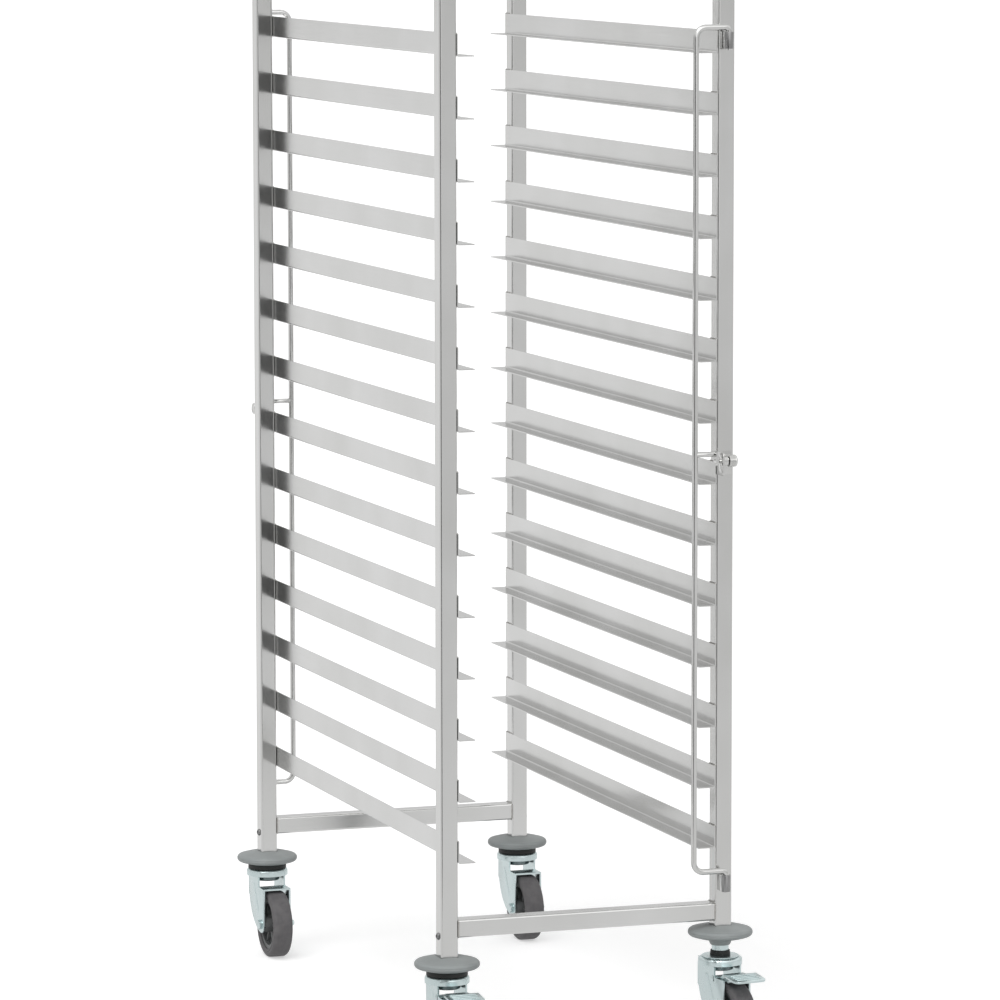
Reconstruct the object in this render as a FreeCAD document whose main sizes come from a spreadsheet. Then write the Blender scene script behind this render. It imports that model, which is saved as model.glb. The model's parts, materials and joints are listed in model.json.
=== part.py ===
import FreeCAD, Part
import math
import os
import re

import Sketcher

doc = FreeCAD.newDocument("tray_trolley")

# Driving dimensions, in millimetres and degrees.
# Frame: X runs from left to right, Y from the front to the rear, Z up from the floor.
DIMENSIONS = [
    ("frame_width", 428, "over the posts, left to right"),
    ("frame_depth", 890, "over the posts, front to rear"),
    ("post_width", 25, "square tube, outside"),
    ("tube_wall", 1.5, "wall of posts and bars"),
    ("tube_corner", 3, "outer corner radius of the tube"),
    ("post_foot", 148, "lower end of the posts above the floor"),
    ("rail_count", 14, "levels of rails"),
    ("rail_pitch", 85, "from one level to the next"),
    ("lowest_rail", 286, "underside of the lowest rail above the floor"),
    ("rail_height", 31, "upright web of the rail"),
    ("rail_flange", 25, "shelf of the rail, with its web"),
    ("rail_sheet", 1.5, "sheet of the rails"),
    ("rail_bend", 3, "outer radius of the fold"),
    ("top_space", 75, "from the top rail to the top bars"),
    ("bar_foot", 183, "underside of the bottom bars above the floor"),
    ("cap_height", 4, "head of the post cap"),
    ("cap_plug", 16, "plug of the post cap inside the tube"),
    ("cap_round", 1.6, "rounded edge of the cap's head"),
    ("seat_gap", 0.3, "clearance where a piece slips into another"),
    ("bumper_diameter", 91, "over the rim"),
    ("bumper_rim", 11, "height of the rim"),
    ("bumper_middle", 142, "middle of the rim above the floor"),
    ("bumper_dome", 4.5, "rise of the bumper from its rim to the post"),
    ("bumper_crown", 40, "diameter of the flat at the post"),
    ("collar_top", 34, "diameter of the bumper's collar at the rim"),
    ("collar_foot", 24.4, "diameter of the bumper's collar at the neck"),
    ("collar_height", 8, "height of the collar below the rim"),
    ("wheel_diameter", 100, "over the tread"),
    ("tyre_width", 27, "over the side walls"),
    ("tyre_depth", 12, "tread to hub"),
    ("tyre_shoulder", 6, "rounding between tread and side wall"),
    ("hub_seat", 0.05, "gap between tyre and hub"),
    ("rim_depth", 6, "rim ring of the hub"),
    ("rim_width", 23, "width of the rim ring"),
    ("web_width", 5, "thickness of the hub's web"),
    ("boss_diameter", 24, "boss of the hub"),
    ("rib_width", 3, "thickness of a rib"),
    ("rib_span", 16, "width of a rib along the axle"),
    ("rib_count", 6, "ribs of the hub"),
    ("castor_trail", 38, "swivel axis to axle"),
    ("fork_gap", 34, "between the fork's legs"),
    ("fork_sheet", 2.5, "sheet of the fork"),
    ("boss_play", 0.5, "between the hub's boss and a leg"),
    ("crown_diameter", 62, "bearing crown of the fork"),
    ("crown_height", 12, "height of the crown"),
    ("crown_round", 4, "rounded shoulder of the crown"),
    ("crown_top", 120, "top of the crown above the floor"),
    ("wheel_space", 3, "bridge above the tyre"),
    ("leg_rear", 24, "leg's rear edge behind the swivel axis"),
    ("leg_step", 23, "where the bridge leaves the crown"),
    ("leg_waist", 88, "height where the leg starts to sweep"),
    ("leg_sweep", 66, "radius of the leg's sweep"),
    ("leg_eye", 13, "radius of the leg round the axle"),
    ("kingpin_diameter", 10, "pin that the crown turns on"),
    ("kingpin_play", 0.05, "radial clearance of the pin in the crown"),
    ("kingpin_head", 17, "diameter of the rivet head"),
    ("kingpin_head_height", 5, "height of the rivet head"),
    ("bearing_gap", 0.3, "axial gap above and below the crown"),
    ("flange_diameter", 52, "stem flange over the crown"),
    ("flange_height", 3, "thickness of the stem flange"),
    ("neck_diameter", 24, "neck between flange and bumper"),
    ("stem_diameter", 21.4, "stem inside the post"),
    ("stem_length", 80, "from the collar to the stem's end"),
    ("stem_chamfer", 1.5, "lead-in at the stem's end"),
    ("screw_height", 185, "clamp screw above the floor"),
    ("screw_diameter", 5, "clamp screw"),
    ("screw_depth", 7, "screw inside the stem"),
    ("screw_play", 0.1, "radial clearance of the screw"),
    ("screw_head", 9, "diameter of the screw's dome head"),
    ("screw_head_height", 3, "height of the dome head"),
    ("axle_diameter", 8, "axle bolt"),
    ("sleeve_wall", 2, "wall of the spacer sleeve"),
    ("axle_play", 0.05, "radial clearance on bolt and sleeve"),
    ("hex_width", 13, "across the flats of head and nut"),
    ("bolt_head_height", 5.3, "head of the axle bolt"),
    ("nut_height", 6.5, "nut of the axle bolt"),
    ("bolt_end", 2, "bolt beyond its nut"),
    ("pedal_pivot_x", 18, "pedal rivet in front of the swivel axis"),
    ("pedal_pivot_z", 103, "pedal rivet above the floor"),
    ("pedal_reach", 95, "tip of the pedal from the swivel axis"),
    ("pedal_sheet", 3, "thickness of the pedal"),
    ("pedal_eye", 4, "radius of the pedal round its rivet"),
    ("pedal_width", 42, "width of the tread plate"),
    ("pedal_play", 0.5, "pedal to leg, each side"),
    ("pedal_lift", 5.5, "rise of the tread above its eye"),
    ("pedal_drop", 4, "fall of the tread to its tip"),
    ("pedal_corner", 8, "rounded corners of the tip"),
    ("pedal_travel", 8, "degrees from free to braked"),
    ("shoe_gap", 0.4, "shoe to tyre when braked"),
    ("shoe_length", 20, "brake shoe along the tread"),
    ("rivet_diameter", 5, "pedal rivet"),
    ("rivet_play", 0.05, "radial clearance of the pedal rivet"),
    ("rivet_head", 9, "diameter of the rivet's heads"),
    ("rivet_head_height", 2, "height of the rivet's heads"),
    ("front_right_turn", 6, "turn of the front right castor"),
    ("wire_diameter", 8, "retaining bar"),
    ("bar_leg", 53, "pivot to the upright wire"),
    ("bar_bend", 14, "bend radius at the upright wire"),
    ("pin_bend", 6, "bend radius at the pins"),
    ("bar_above_rail", 9, "top leg above the top rail"),
    ("bar_below_rail", 40, "bottom leg below the lowest rail"),
    ("pin_length", 31, "pin below its leg"),
    ("pivot_in", 10, "pivot from the post's inner face"),
    ("pivot_out", 15, "pivot in front of the post"),
    ("sleeve_outer", 13, "hinge sleeve, outside"),
    ("sleeve_height", 23, "height of the hinge sleeve"),
    ("sleeve_plate", 3, "plate that holds the sleeve"),
    ("pin_play", 0.05, "radial clearance of the pin"),
    ("catch_height", 830, "plunger above the floor"),
    ("catch_above", 12, "bracket above the plunger"),
    ("catch_below", 20, "bracket below the plunger"),
    ("catch_sheet", 2.5, "sheet of the bracket"),
    ("catch_ear", 24, "bracket's ear in front of the post"),
    ("catch_base", 21, "bracket's base across the post"),
    ("catch_round", 5, "rounded corners of the ear"),
    ("barrel_diameter", 12, "plunger barrel"),
    ("barrel_length", 8, "plunger barrel"),
    ("plunger_diameter", 6, "plunger pin"),
    ("plunger_play", 0.05, "radial clearance of the plunger"),
    ("plunger_travel", 8, "pull of the knob"),
    ("knob_diameter", 17, "pull knob"),
    ("knob_length", 11.5, "pull knob"),
    ("knob_end", 3.5, "closed end of the knob"),
    ("knob_round", 2, "rounded edge of the knob"),
    ("knob_play", 0.3, "radial clearance round the barrel"),
    ("knob_gap", 0.8, "end of the barrel to the knob when pulled"),
    ("tab_gap", 16, "tab to the pivot, beside the bracket"),
    ("tab_sheet", 2.5, "tab on the retaining bar"),
    ("tab_width", 14, "tab on the retaining bar"),
    ("tab_hole_play", 0.4, "radial clearance of the plunger in the tab"),
    ("rod_diameter", 7, "short rod from wire to tab"),
    ("rod_rise", 10, "short rod above the plunger"),
]

sizes = doc.addObject("Spreadsheet::Sheet", "sizes")
for line, (alias, size, note) in enumerate(DIMENSIONS, start=1):
    sizes.set(f"A{line}", alias)
    sizes.set(f"B{line}", str(size))
    sizes.setAlias(f"B{line}", alias)
    sizes.set(f"C{line}", note)
doc.recompute()

Z_AXIS = FreeCAD.Vector(0, 0, 1)
HALF_TURN = "180"
FULL_TURN = "360"
NEAR = 1e-3

pieces = []


def formula(text):
    """Put the sheet's name before each of its aliases, which all hold an underscore."""
    return re.sub(r"\b([a-z]+(?:_[a-z]+)+)\b", r"sizes.\1", text)


def value(text):
    """The number that a formula gives now."""
    return float(sizes.evalExpression(formula(text)))


def bind(thing, prop, text):
    thing.setExpression(prop, formula(text))


def keep(thing, label):
    """Name a finished piece; its label is its file's name too."""
    thing.Label = label
    pieces.append(thing)
    return thing


def place(thing, x="0", y="0", z="0", turn="0"):
    """Stand a piece at x, y, z, turned about the upright."""
    spot = f"vector({x}; {y}; {z})"
    bind(thing, "Placement", f"placement({spot}; rotation(vector(0; 0; 1); {turn}))")
    return thing


def new_body(name):
    return doc.addObject("PartDesign::Body", name)


def new_sketch(body, name, plane, shift="0"):
    """An empty sketch on one of the body's own planes, moved along its normal."""
    sketch = body.newObject("Sketcher::SketchObject", name)
    support = [item for item in body.Origin.OriginFeatures if item.Role == plane][0]
    sketch.AttachmentSupport = [(support, "")]
    sketch.MapMode = "FlatFace"
    if shift != "0":
        bind(sketch, "AttachmentOffset.Base.z", shift)
    return sketch


def pin_point(sketch, geometry, end, x, y):
    """Fix one point of the sketch to formulas for its place."""
    for axis, kind, text in ((-2, "DistanceX", x), (-1, "DistanceY", y)):
        if text == "0":
            sketch.addConstraint(Sketcher.Constraint("PointOnObject", geometry, end, axis))
            continue
        number = sketch.addConstraint(Sketcher.Constraint(kind, -1, 1, geometry, end, value(text)))
        bind(sketch, f"Constraints[{number}]", text)


def arc_between(start, end, radius):
    """The short arc from start to end; a positive radius turns left."""
    chord = end - start
    half = chord.Length / 2
    rise = math.sqrt(max(radius * radius - half * half, 0))
    side = FreeCAD.Vector(-chord.y, chord.x, 0)
    side.normalize()
    centre = start + chord / 2 + side * math.copysign(rise, radius)
    first, last = (start, end) if radius > 0 else (end, start)
    angles = [math.atan2(point.y - centre.y, point.x - centre.x) for point in (first, last)]
    circle = Part.Circle(centre, Z_AXIS, abs(radius))
    return Part.ArcOfCircle(circle, angles[0], angles[1])


def outline(sketch, corners, closed=True):
    """Draw lines and arcs through corners.

    A corner is (x, y), or (x, y, radius) where the edge that leaves it is an arc:
    positive formulas turn left, and ones that start with a minus turn right.
    """
    points = [FreeCAD.Vector(value(corner[0]), value(corner[1]), 0) for corner in corners]
    count = len(corners) if closed else len(corners) - 1
    ends = []
    first = sketch.GeometryCount
    for index in range(count):
        start, end = points[index], points[(index + 1) % len(points)]
        radius = corners[index][2] if len(corners[index]) > 2 else None
        if radius is None:
            number = sketch.addGeometry(Part.LineSegment(start, end))
            ends.append((1, 2))
            continue
        turn = value(radius)
        number = sketch.addGeometry(arc_between(start, end, turn))
        ends.append((1, 2) if turn > 0 else (2, 1))
        size = sketch.addConstraint(Sketcher.Constraint("Radius", number, abs(turn)))
        bind(sketch, f"Constraints[{size}]", radius.lstrip("-"))
    for index in range(count):
        pin_point(sketch, first + index, ends[index][0], *corners[index][:2])
    for index in range(count - 1 + closed):
        following = (index + 1) % count
        sketch.addConstraint(Sketcher.Constraint(
            "Coincident", first + index, ends[index][1], first + following, ends[following][0]))
    if not closed:
        pin_point(sketch, first + count - 1, ends[-1][1], *corners[-1][:2])
    return sketch


def ring(sketch, x, y, radius):
    """A circle with its centre and radius from formulas."""
    circle = Part.Circle(FreeCAD.Vector(value(x), value(y), 0), Z_AXIS, value(radius))
    number = sketch.addGeometry(circle)
    pin_point(sketch, number, 3, x, y)
    size = sketch.addConstraint(Sketcher.Constraint("Radius", number, value(radius)))
    bind(sketch, f"Constraints[{size}]", radius)
    return sketch


def rounded_square(sketch, width, corner):
    """A square about the sketch's origin, with round corners."""
    half = f"({width}) / 2"
    flat = f"(({width}) / 2 - ({corner}))"
    outline(sketch, [
        (flat, f"-({half})", corner), (half, f"-{flat}"),
        (half, flat, corner), (flat, half),
        (f"-{flat}", half, corner), (f"-({half})", flat),
        (f"-({half})", f"-{flat}", corner), (f"-{flat}", f"-({half})"),
    ])
    return sketch


def pad(body, sketch, length, symmetric=False, reverse=False, kind="PartDesign::Pad"):
    """Pad or pocket a sketch; a pocket must take something away."""
    before = body.Shape.Volume if kind == "PartDesign::Pocket" else None
    feature = body.newObject(kind, sketch.Name + "_solid")
    feature.Profile = sketch
    bind(feature, "Length", length)
    if symmetric:
        feature.SideType = "Symmetric"
    feature.Reversed = reverse
    doc.recompute()
    if before is not None and not feature.Shape.Volume < before - NEAR:
        raise RuntimeError(f"{feature.Name} cuts nothing")
    return feature


def pocket(body, sketch, length, symmetric=False, reverse=False):
    return pad(body, sketch, length, symmetric, reverse, "PartDesign::Pocket")


def revolve(body, sketch, axis="V_Axis"):
    feature = body.newObject("PartDesign::Revolution", sketch.Name + "_solid")
    feature.Profile = sketch
    feature.ReferenceAxis = (sketch, [axis])
    bind(feature, "Angle", FULL_TURN)
    doc.recompute()
    return feature


def fillet(body, radius, chosen):
    """Round the edges of the body's last solid that the test picks."""
    base = body.Tip
    names = [f"Edge{number}" for number, edge in enumerate(base.Shape.Edges, start=1) if chosen(edge)]
    if not names:
        raise RuntimeError(f"no edge to round on {body.Name}")
    feature = body.newObject("PartDesign::Fillet", body.Name + "_round")
    feature.Base = (base, names)
    bind(feature, "Radius", radius)
    doc.recompute()
    return feature


def level(edge, height):
    """True for an edge that lies at one height."""
    return all(abs(vertex.Z - height) < NEAR for vertex in edge.Vertexes) and (
        edge.BoundBox.ZLength < NEAR)


def upright(edge):
    return edge.BoundBox.XLength < NEAR and edge.BoundBox.YLength < NEAR


def group(name, members):
    """Several separate solids that share one node."""
    compound = doc.addObject("Part::Compound", name)
    compound.Links = members
    return keep(compound, name)


# Places worked out from the dimensions.
# The origin lies on the floor below the middle of the whole trolley, so the frame
# stands a little to the rear: the brake pedals reach further than the rear bumpers.
MIDDLE_Y = "((pedal_reach - bumper_diameter / 2) / 2)"
POST_X = "((frame_width - post_width) / 2)"
FRONT_Y = f"({MIDDLE_Y} - (frame_depth - post_width) / 2)"
REAR_Y = f"({MIDDLE_Y} + (frame_depth - post_width) / 2)"
TOP_RAIL = "(lowest_rail + (rail_count - 1) * rail_pitch + rail_height)"
POST_TOP = f"({TOP_RAIL} + top_space + post_width)"
POST_HOLE = "(post_width - 2 * tube_wall)"

CORNERS = {
    "front_left": (f"-{POST_X}", FRONT_Y, "-90"),
    "front_right": (POST_X, FRONT_Y, "front_right_turn - 90"),
    "rear_left": (f"-{POST_X}", REAR_Y, "-90"),
    "rear_right": (POST_X, REAR_Y, "-90"),
}


def make_tube(name, plane, length, start="0", symmetric=False):
    """A square tube with round corners."""
    body = new_body(name)
    sketch = new_sketch(body, name + "_section", plane, start)
    rounded_square(sketch, "post_width", "tube_corner")
    rounded_square(sketch, POST_HOLE, "(tube_corner - tube_wall)")
    pad(body, sketch, length, symmetric)
    return body


# Posts: square stainless tube, drilled near the foot for the screw that clamps the castor's stem.
for corner, (x, y, turn) in CORNERS.items():
    post = make_tube("post_" + corner, "XY_Plane", f"{POST_TOP} - post_foot", "post_foot")
    drilled = new_sketch(post, f"post_{corner}_screw", "YZ_Plane")
    ring(drilled, "0", "screw_height", "screw_diameter / 2 + screw_play")
    pocket(post, drilled, "post_width", reverse=corner.endswith("right"))
    keep(place(post, x, y), "post_" + corner)

# Cross bars: the same tube, welded between the posts at the front and the rear.
for end, y in (("front", FRONT_Y), ("rear", REAR_Y)):
    for height, z in (("bottom", "bar_foot + post_width / 2"), ("top", f"{POST_TOP} - post_width / 2")):
        name = f"{height}_bar_{end}"
        bar = make_tube(name, "YZ_Plane", "frame_width - 2 * post_width", symmetric=True)
        keep(place(bar, "0", y, z), name)


def make_rail(name):
    """An L folded from sheet, its web against the left posts and its shelf inwards."""
    body = new_body(name)
    inner = "(rail_bend - rail_sheet)"
    section = new_sketch(body, name + "_section", "XZ_Plane")
    outline(section, [
        ("rail_bend", "0"), ("rail_flange", "0"),
        ("rail_flange", "rail_sheet"), ("rail_bend", "rail_sheet", f"-{inner}"),
        ("rail_sheet", "rail_bend"), ("rail_sheet", "rail_height"),
        ("0", "rail_height"), ("0", "rail_bend", "rail_bend"),
    ])
    pad(body, section, "frame_depth", symmetric=True)
    return body


# Rails: one left and one right rail to a level, welded to the posts' inner faces.
left_rail = place(make_rail("left_rail"), "post_width - frame_width / 2", MIDDLE_Y)
right_rail = place(make_rail("right_rail"), "frame_width / 2 - post_width", MIDDLE_Y, turn=HALF_TURN)
for number in range(int(value("rail_count"))):
    pair = group(f"rail_pair_{number + 1:02d}", [left_rail, right_rail])
    place(pair, z=f"lowest_rail + {number} * rail_pitch")


def make_cap(name):
    """A plastic cap: a rounded head as wide as the tube, over a plug."""
    body = new_body(name)
    head = new_sketch(body, name + "_head", "XY_Plane")
    rounded_square(head, "post_width", "tube_corner")
    pad(body, head, "cap_height")
    plug = new_sketch(body, name + "_plug", "XY_Plane")
    rounded_square(plug, f"({POST_HOLE} - 2 * seat_gap)", "(tube_corner - tube_wall)")
    pad(body, plug, "cap_plug", reverse=True)
    top = value("cap_height")
    fillet(body, "cap_round", lambda edge: level(edge, top))
    return body


caps = [place(make_cap("cap_" + corner), x, y, POST_TOP) for corner, (x, y, turn) in CORNERS.items()]
group("post_caps", caps)

# Castor: heights above the floor, in the castor's own frame with X towards the wheel.
RIM_FOOT = "(bumper_middle - bumper_rim / 2)"
RIM_TOP = "(bumper_middle + bumper_rim / 2)"
BUMPER_TOP = f"({RIM_TOP} + bumper_dome)"
COLLAR_Z = f"({RIM_FOOT} - collar_height)"
FLANGE_Z = "(crown_top + bearing_gap)"
AXLE_Z = "(wheel_diameter / 2)"
STEM_BORE = "(stem_diameter / 2 + seat_gap)"


def make_bumper(name):
    """A plastic disc with a round rim and a collar; the post's foot sits in its top."""
    body = new_body(name)
    half = new_sketch(body, name + "_half", "XZ_Plane")
    edge = "(bumper_diameter / 2 - bumper_rim / 2)"
    outline(half, [
        (STEM_BORE, COLLAR_Z), ("collar_foot / 2", COLLAR_Z),
        ("collar_top / 2", RIM_FOOT), (edge, RIM_FOOT, "bumper_rim / 2"),
        ("bumper_diameter / 2", "bumper_middle", "bumper_rim / 2"), (edge, RIM_TOP),
        ("bumper_crown / 2", BUMPER_TOP),
        (STEM_BORE, BUMPER_TOP),
    ])
    revolve(body, half)
    seat = new_sketch(body, name + "_seat", "XY_Plane", "post_foot")
    rounded_square(seat, "(post_width + 2 * seat_gap)", "tube_corner")
    pocket(body, seat, f"{BUMPER_TOP} - post_foot", reverse=True)
    return body


def make_stem(name, side):
    """Stem, neck, flange and king pin turned in one, with the rivet head under the crown."""
    body = new_body(name)
    half = new_sketch(body, name + "_half", "XZ_Plane")
    head_top = "(crown_top - fork_sheet - bearing_gap)"
    outline(half, [
        ("0", f"{head_top} - kingpin_head_height"),
        ("kingpin_head / 2", f"{head_top} - kingpin_head_height"),
        ("kingpin_head / 2", head_top), ("kingpin_diameter / 2", head_top),
        ("kingpin_diameter / 2", FLANGE_Z), ("flange_diameter / 2", FLANGE_Z),
        ("flange_diameter / 2", f"{FLANGE_Z} + flange_height"),
        ("neck_diameter / 2", f"{FLANGE_Z} + flange_height"),
        ("neck_diameter / 2", COLLAR_Z), ("stem_diameter / 2", COLLAR_Z),
        ("stem_diameter / 2", f"{COLLAR_Z} + stem_length - stem_chamfer"),
        ("stem_diameter / 2 - stem_chamfer", f"{COLLAR_Z} + stem_length"),
        ("0", f"{COLLAR_Z} + stem_length"),
    ])
    revolve(body, half)
    drilled = new_sketch(body, name + "_drilling", "YZ_Plane", f"{side} * stem_diameter / 2")
    ring(drilled, "0", "screw_height", "screw_diameter / 2 + screw_play")
    depth = "screw_depth - (post_width - stem_diameter) / 2 + 2 * seat_gap"
    pocket(body, drilled, depth, reverse=side < 0)
    return body


def make_screw(name):
    """A dome-headed screw along X, its head outside the post at negative X."""
    body = new_body(name)
    half = new_sketch(body, name + "_half", "XZ_Plane")
    radius = "((screw_head / 2) ^ 2 + screw_head_height ^ 2) / (2 * screw_head_height)"
    outline(half, [
        ("-screw_head_height", "0", f"-({radius})"), ("0", "screw_head / 2"),
        ("0", "screw_diameter / 2"), ("screw_depth", "screw_diameter / 2"),
        ("screw_depth", "0"),
    ])
    revolve(body, half, "H_Axis")
    return body


def make_fork(name, braked):
    """A stamped fork: round bearing crown, two swept legs, and a bridge where no pedal is."""
    body = new_body(name)
    crown_foot = "(crown_top - crown_height)"
    plate_foot = "(crown_top - fork_sheet)"
    bridge_foot = "(wheel_diameter + wheel_space)"
    bridge_top = "(wheel_diameter + wheel_space + fork_sheet)"
    legs = new_sketch(body, name + "_legs", "XZ_Plane")
    outline(legs, [
        ("-leg_rear", plate_foot), ("-leg_rear", "leg_waist", "leg_sweep"),
        ("castor_trail", f"{AXLE_Z} - leg_eye", "leg_eye"),
        ("castor_trail + leg_eye", AXLE_Z), ("castor_trail + leg_eye", bridge_top),
        ("leg_step", bridge_top), ("leg_step", plate_foot),
    ])
    pad(body, legs, "fork_gap + 2 * fork_sheet", symmetric=True)
    throat = new_sketch(body, name + "_throat", "XZ_Plane")
    clear = "(castor_trail + wheel_diameter)"
    roof = [(clear, plate_foot)] if braked else [
        (clear, bridge_foot), ("leg_step", bridge_foot), ("leg_step", plate_foot)]
    outline(throat, [(f"-{clear}", "0"), (clear, "0"), *roof, (f"-{clear}", plate_foot)])
    pocket(body, throat, "fork_gap", symmetric=True)
    crown = new_sketch(body, name + "_crown", "XZ_Plane")
    outline(crown, [
        ("kingpin_diameter / 2 + kingpin_play", plate_foot),
        ("crown_diameter / 2 - crown_round", plate_foot, "-(crown_round - fork_sheet)"),
        ("crown_diameter / 2 - fork_sheet", "crown_top - crown_round"),
        ("crown_diameter / 2 - fork_sheet", crown_foot), ("crown_diameter / 2", crown_foot),
        ("crown_diameter / 2", "crown_top - crown_round", "crown_round"),
        ("crown_diameter / 2 - crown_round", "crown_top"),
        ("kingpin_diameter / 2 + kingpin_play", "crown_top"),
    ])
    revolve(body, crown)
    holes = new_sketch(body, name + "_holes", "XZ_Plane")
    ring(holes, "castor_trail", AXLE_Z, "axle_diameter / 2 + axle_play")
    if braked:
        ring(holes, "pedal_pivot_x", "pedal_pivot_z", "rivet_diameter / 2 + rivet_play")
    pocket(body, holes, "crown_diameter", symmetric=True)
    return body


def hexagon(sketch):
    """A hexagon of hex_width across its flats."""
    tip = "(hex_width / sqrt(3))"
    flat = "(hex_width / 2)"
    outline(sketch, [
        (tip, "0"), (f"{tip} / 2", flat), (f"-{tip} / 2", flat),
        (f"-{tip}", "0"), (f"-{tip} / 2", f"-{flat}"), (f"{tip} / 2", f"-{flat}"),
    ])
    return sketch


# Axle and wheel: each modelled about its own middle, with the axle along Y.
LEG_OUTSIDE = "(fork_gap / 2 + fork_sheet)"
SLEEVE_BORE = "(axle_diameter / 2 + axle_play)"
SLEEVE_OUTSIDE = f"({SLEEVE_BORE} + sleeve_wall)"


def make_bolt(name):
    """A hexagon bolt through both legs, its head at negative Y."""
    body = new_body(name)
    head = hexagon(new_sketch(body, name + "_head", "XZ_Plane", LEG_OUTSIDE))
    pad(body, head, "bolt_head_height")
    shank = ring(new_sketch(body, name + "_shank", "XZ_Plane", LEG_OUTSIDE), "0", "0", "axle_diameter / 2")
    pad(body, shank, f"2 * {LEG_OUTSIDE} + nut_height + bolt_end", reverse=True)
    return body


def make_sleeve(name):
    """The tube that the wheel turns on, from leg to leg."""
    body = new_body(name)
    section = new_sketch(body, name + "_section", "XZ_Plane")
    ring(section, "0", "0", SLEEVE_OUTSIDE)
    ring(section, "0", "0", SLEEVE_BORE)
    pad(body, section, "fork_gap", symmetric=True)
    return body


def make_nut(name):
    body = new_body(name)
    section = hexagon(new_sketch(body, name + "_section", "XZ_Plane", f"-{LEG_OUTSIDE}"))
    ring(section, "0", "0", SLEEVE_BORE)
    pad(body, section, "nut_height", reverse=True)
    return body


def make_tyre(name):
    """A solid tyre with rounded shoulders."""
    body = new_body(name)
    half = new_sketch(body, name + "_half", "XY_Plane")
    inside = "(wheel_diameter / 2 - tyre_depth)"
    side = "(tyre_width / 2)"
    outline(half, [
        (inside, f"-{side}"), ("wheel_diameter / 2 - tyre_shoulder", f"-{side}", "tyre_shoulder"),
        ("wheel_diameter / 2", f"tyre_shoulder - {side}"),
        ("wheel_diameter / 2", f"{side} - tyre_shoulder", "tyre_shoulder"),
        ("wheel_diameter / 2 - tyre_shoulder", side), (inside, side),
    ])
    revolve(body, half)
    return body


def make_hub(name):
    """A moulded hub: boss, thin web and rim ring, stiffened by ribs."""
    body = new_body(name)
    bore = f"({SLEEVE_OUTSIDE} + axle_play)"
    rim_outside = "(wheel_diameter / 2 - tyre_depth - hub_seat)"
    rim_inside = f"({rim_outside} - rim_depth)"
    half = new_sketch(body, name + "_half", "XY_Plane")
    upper = [
        (rim_outside, "rim_width / 2"), (rim_inside, "rim_width / 2"),
        (rim_inside, "web_width / 2"), ("boss_diameter / 2", "web_width / 2"),
        ("boss_diameter / 2", "fork_gap / 2 - boss_play"), (bore, "fork_gap / 2 - boss_play"),
    ]
    lower = [(across, f"-({along})") for across, along in reversed(upper)]
    outline(half, lower + upper)
    revolve(body, half)
    rib = new_sketch(body, name + "_rib", "XZ_Plane")
    root = "(boss_diameter / 2 - rib_width / 2)"
    end = f"({rim_inside} + rib_width / 2)"
    outline(rib, [
        (root, "-rib_width / 2"), (end, "-rib_width / 2"), (end, "rib_width / 2"), (root, "rib_width / 2"),
    ])
    first = pad(body, rib, "rib_span", symmetric=True)
    ribs = body.newObject("PartDesign::PolarPattern", name + "_ribs")
    ribs.Originals = [first]
    ribs.Axis = ([item for item in body.Origin.OriginFeatures if item.Role == "Y_Axis"][0], [""])
    bind(ribs, "Angle", FULL_TURN)
    bind(ribs, "Occurrences", "rib_count")
    body.Tip = ribs
    doc.recompute()
    return body


# Brake pedal, in the castor's frame. Pressed down, its shoe meets the tyre.
PEDAL_BACK_X = "(castor_trail - pedal_pivot_x)"
PEDAL_BACK_Z = f"(pedal_pivot_z - {AXLE_Z})"
SHOE_X = f"(pedal_pivot_x + {PEDAL_BACK_X} * cos(pedal_travel) + {PEDAL_BACK_Z} * sin(pedal_travel))"
SHOE_Z = f"(pedal_pivot_z + {PEDAL_BACK_X} * sin(pedal_travel) - {PEDAL_BACK_Z} * cos(pedal_travel))"
SHOE_RADIUS = f"({AXLE_Z} + shoe_gap)"


def shoe_height(x):
    """Height of the shoe's arc over x while the pedal is free."""
    return f"({SHOE_Z} + sqrt({SHOE_RADIUS} ^ 2 - ({x} - {SHOE_X}) ^ 2))"


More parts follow.
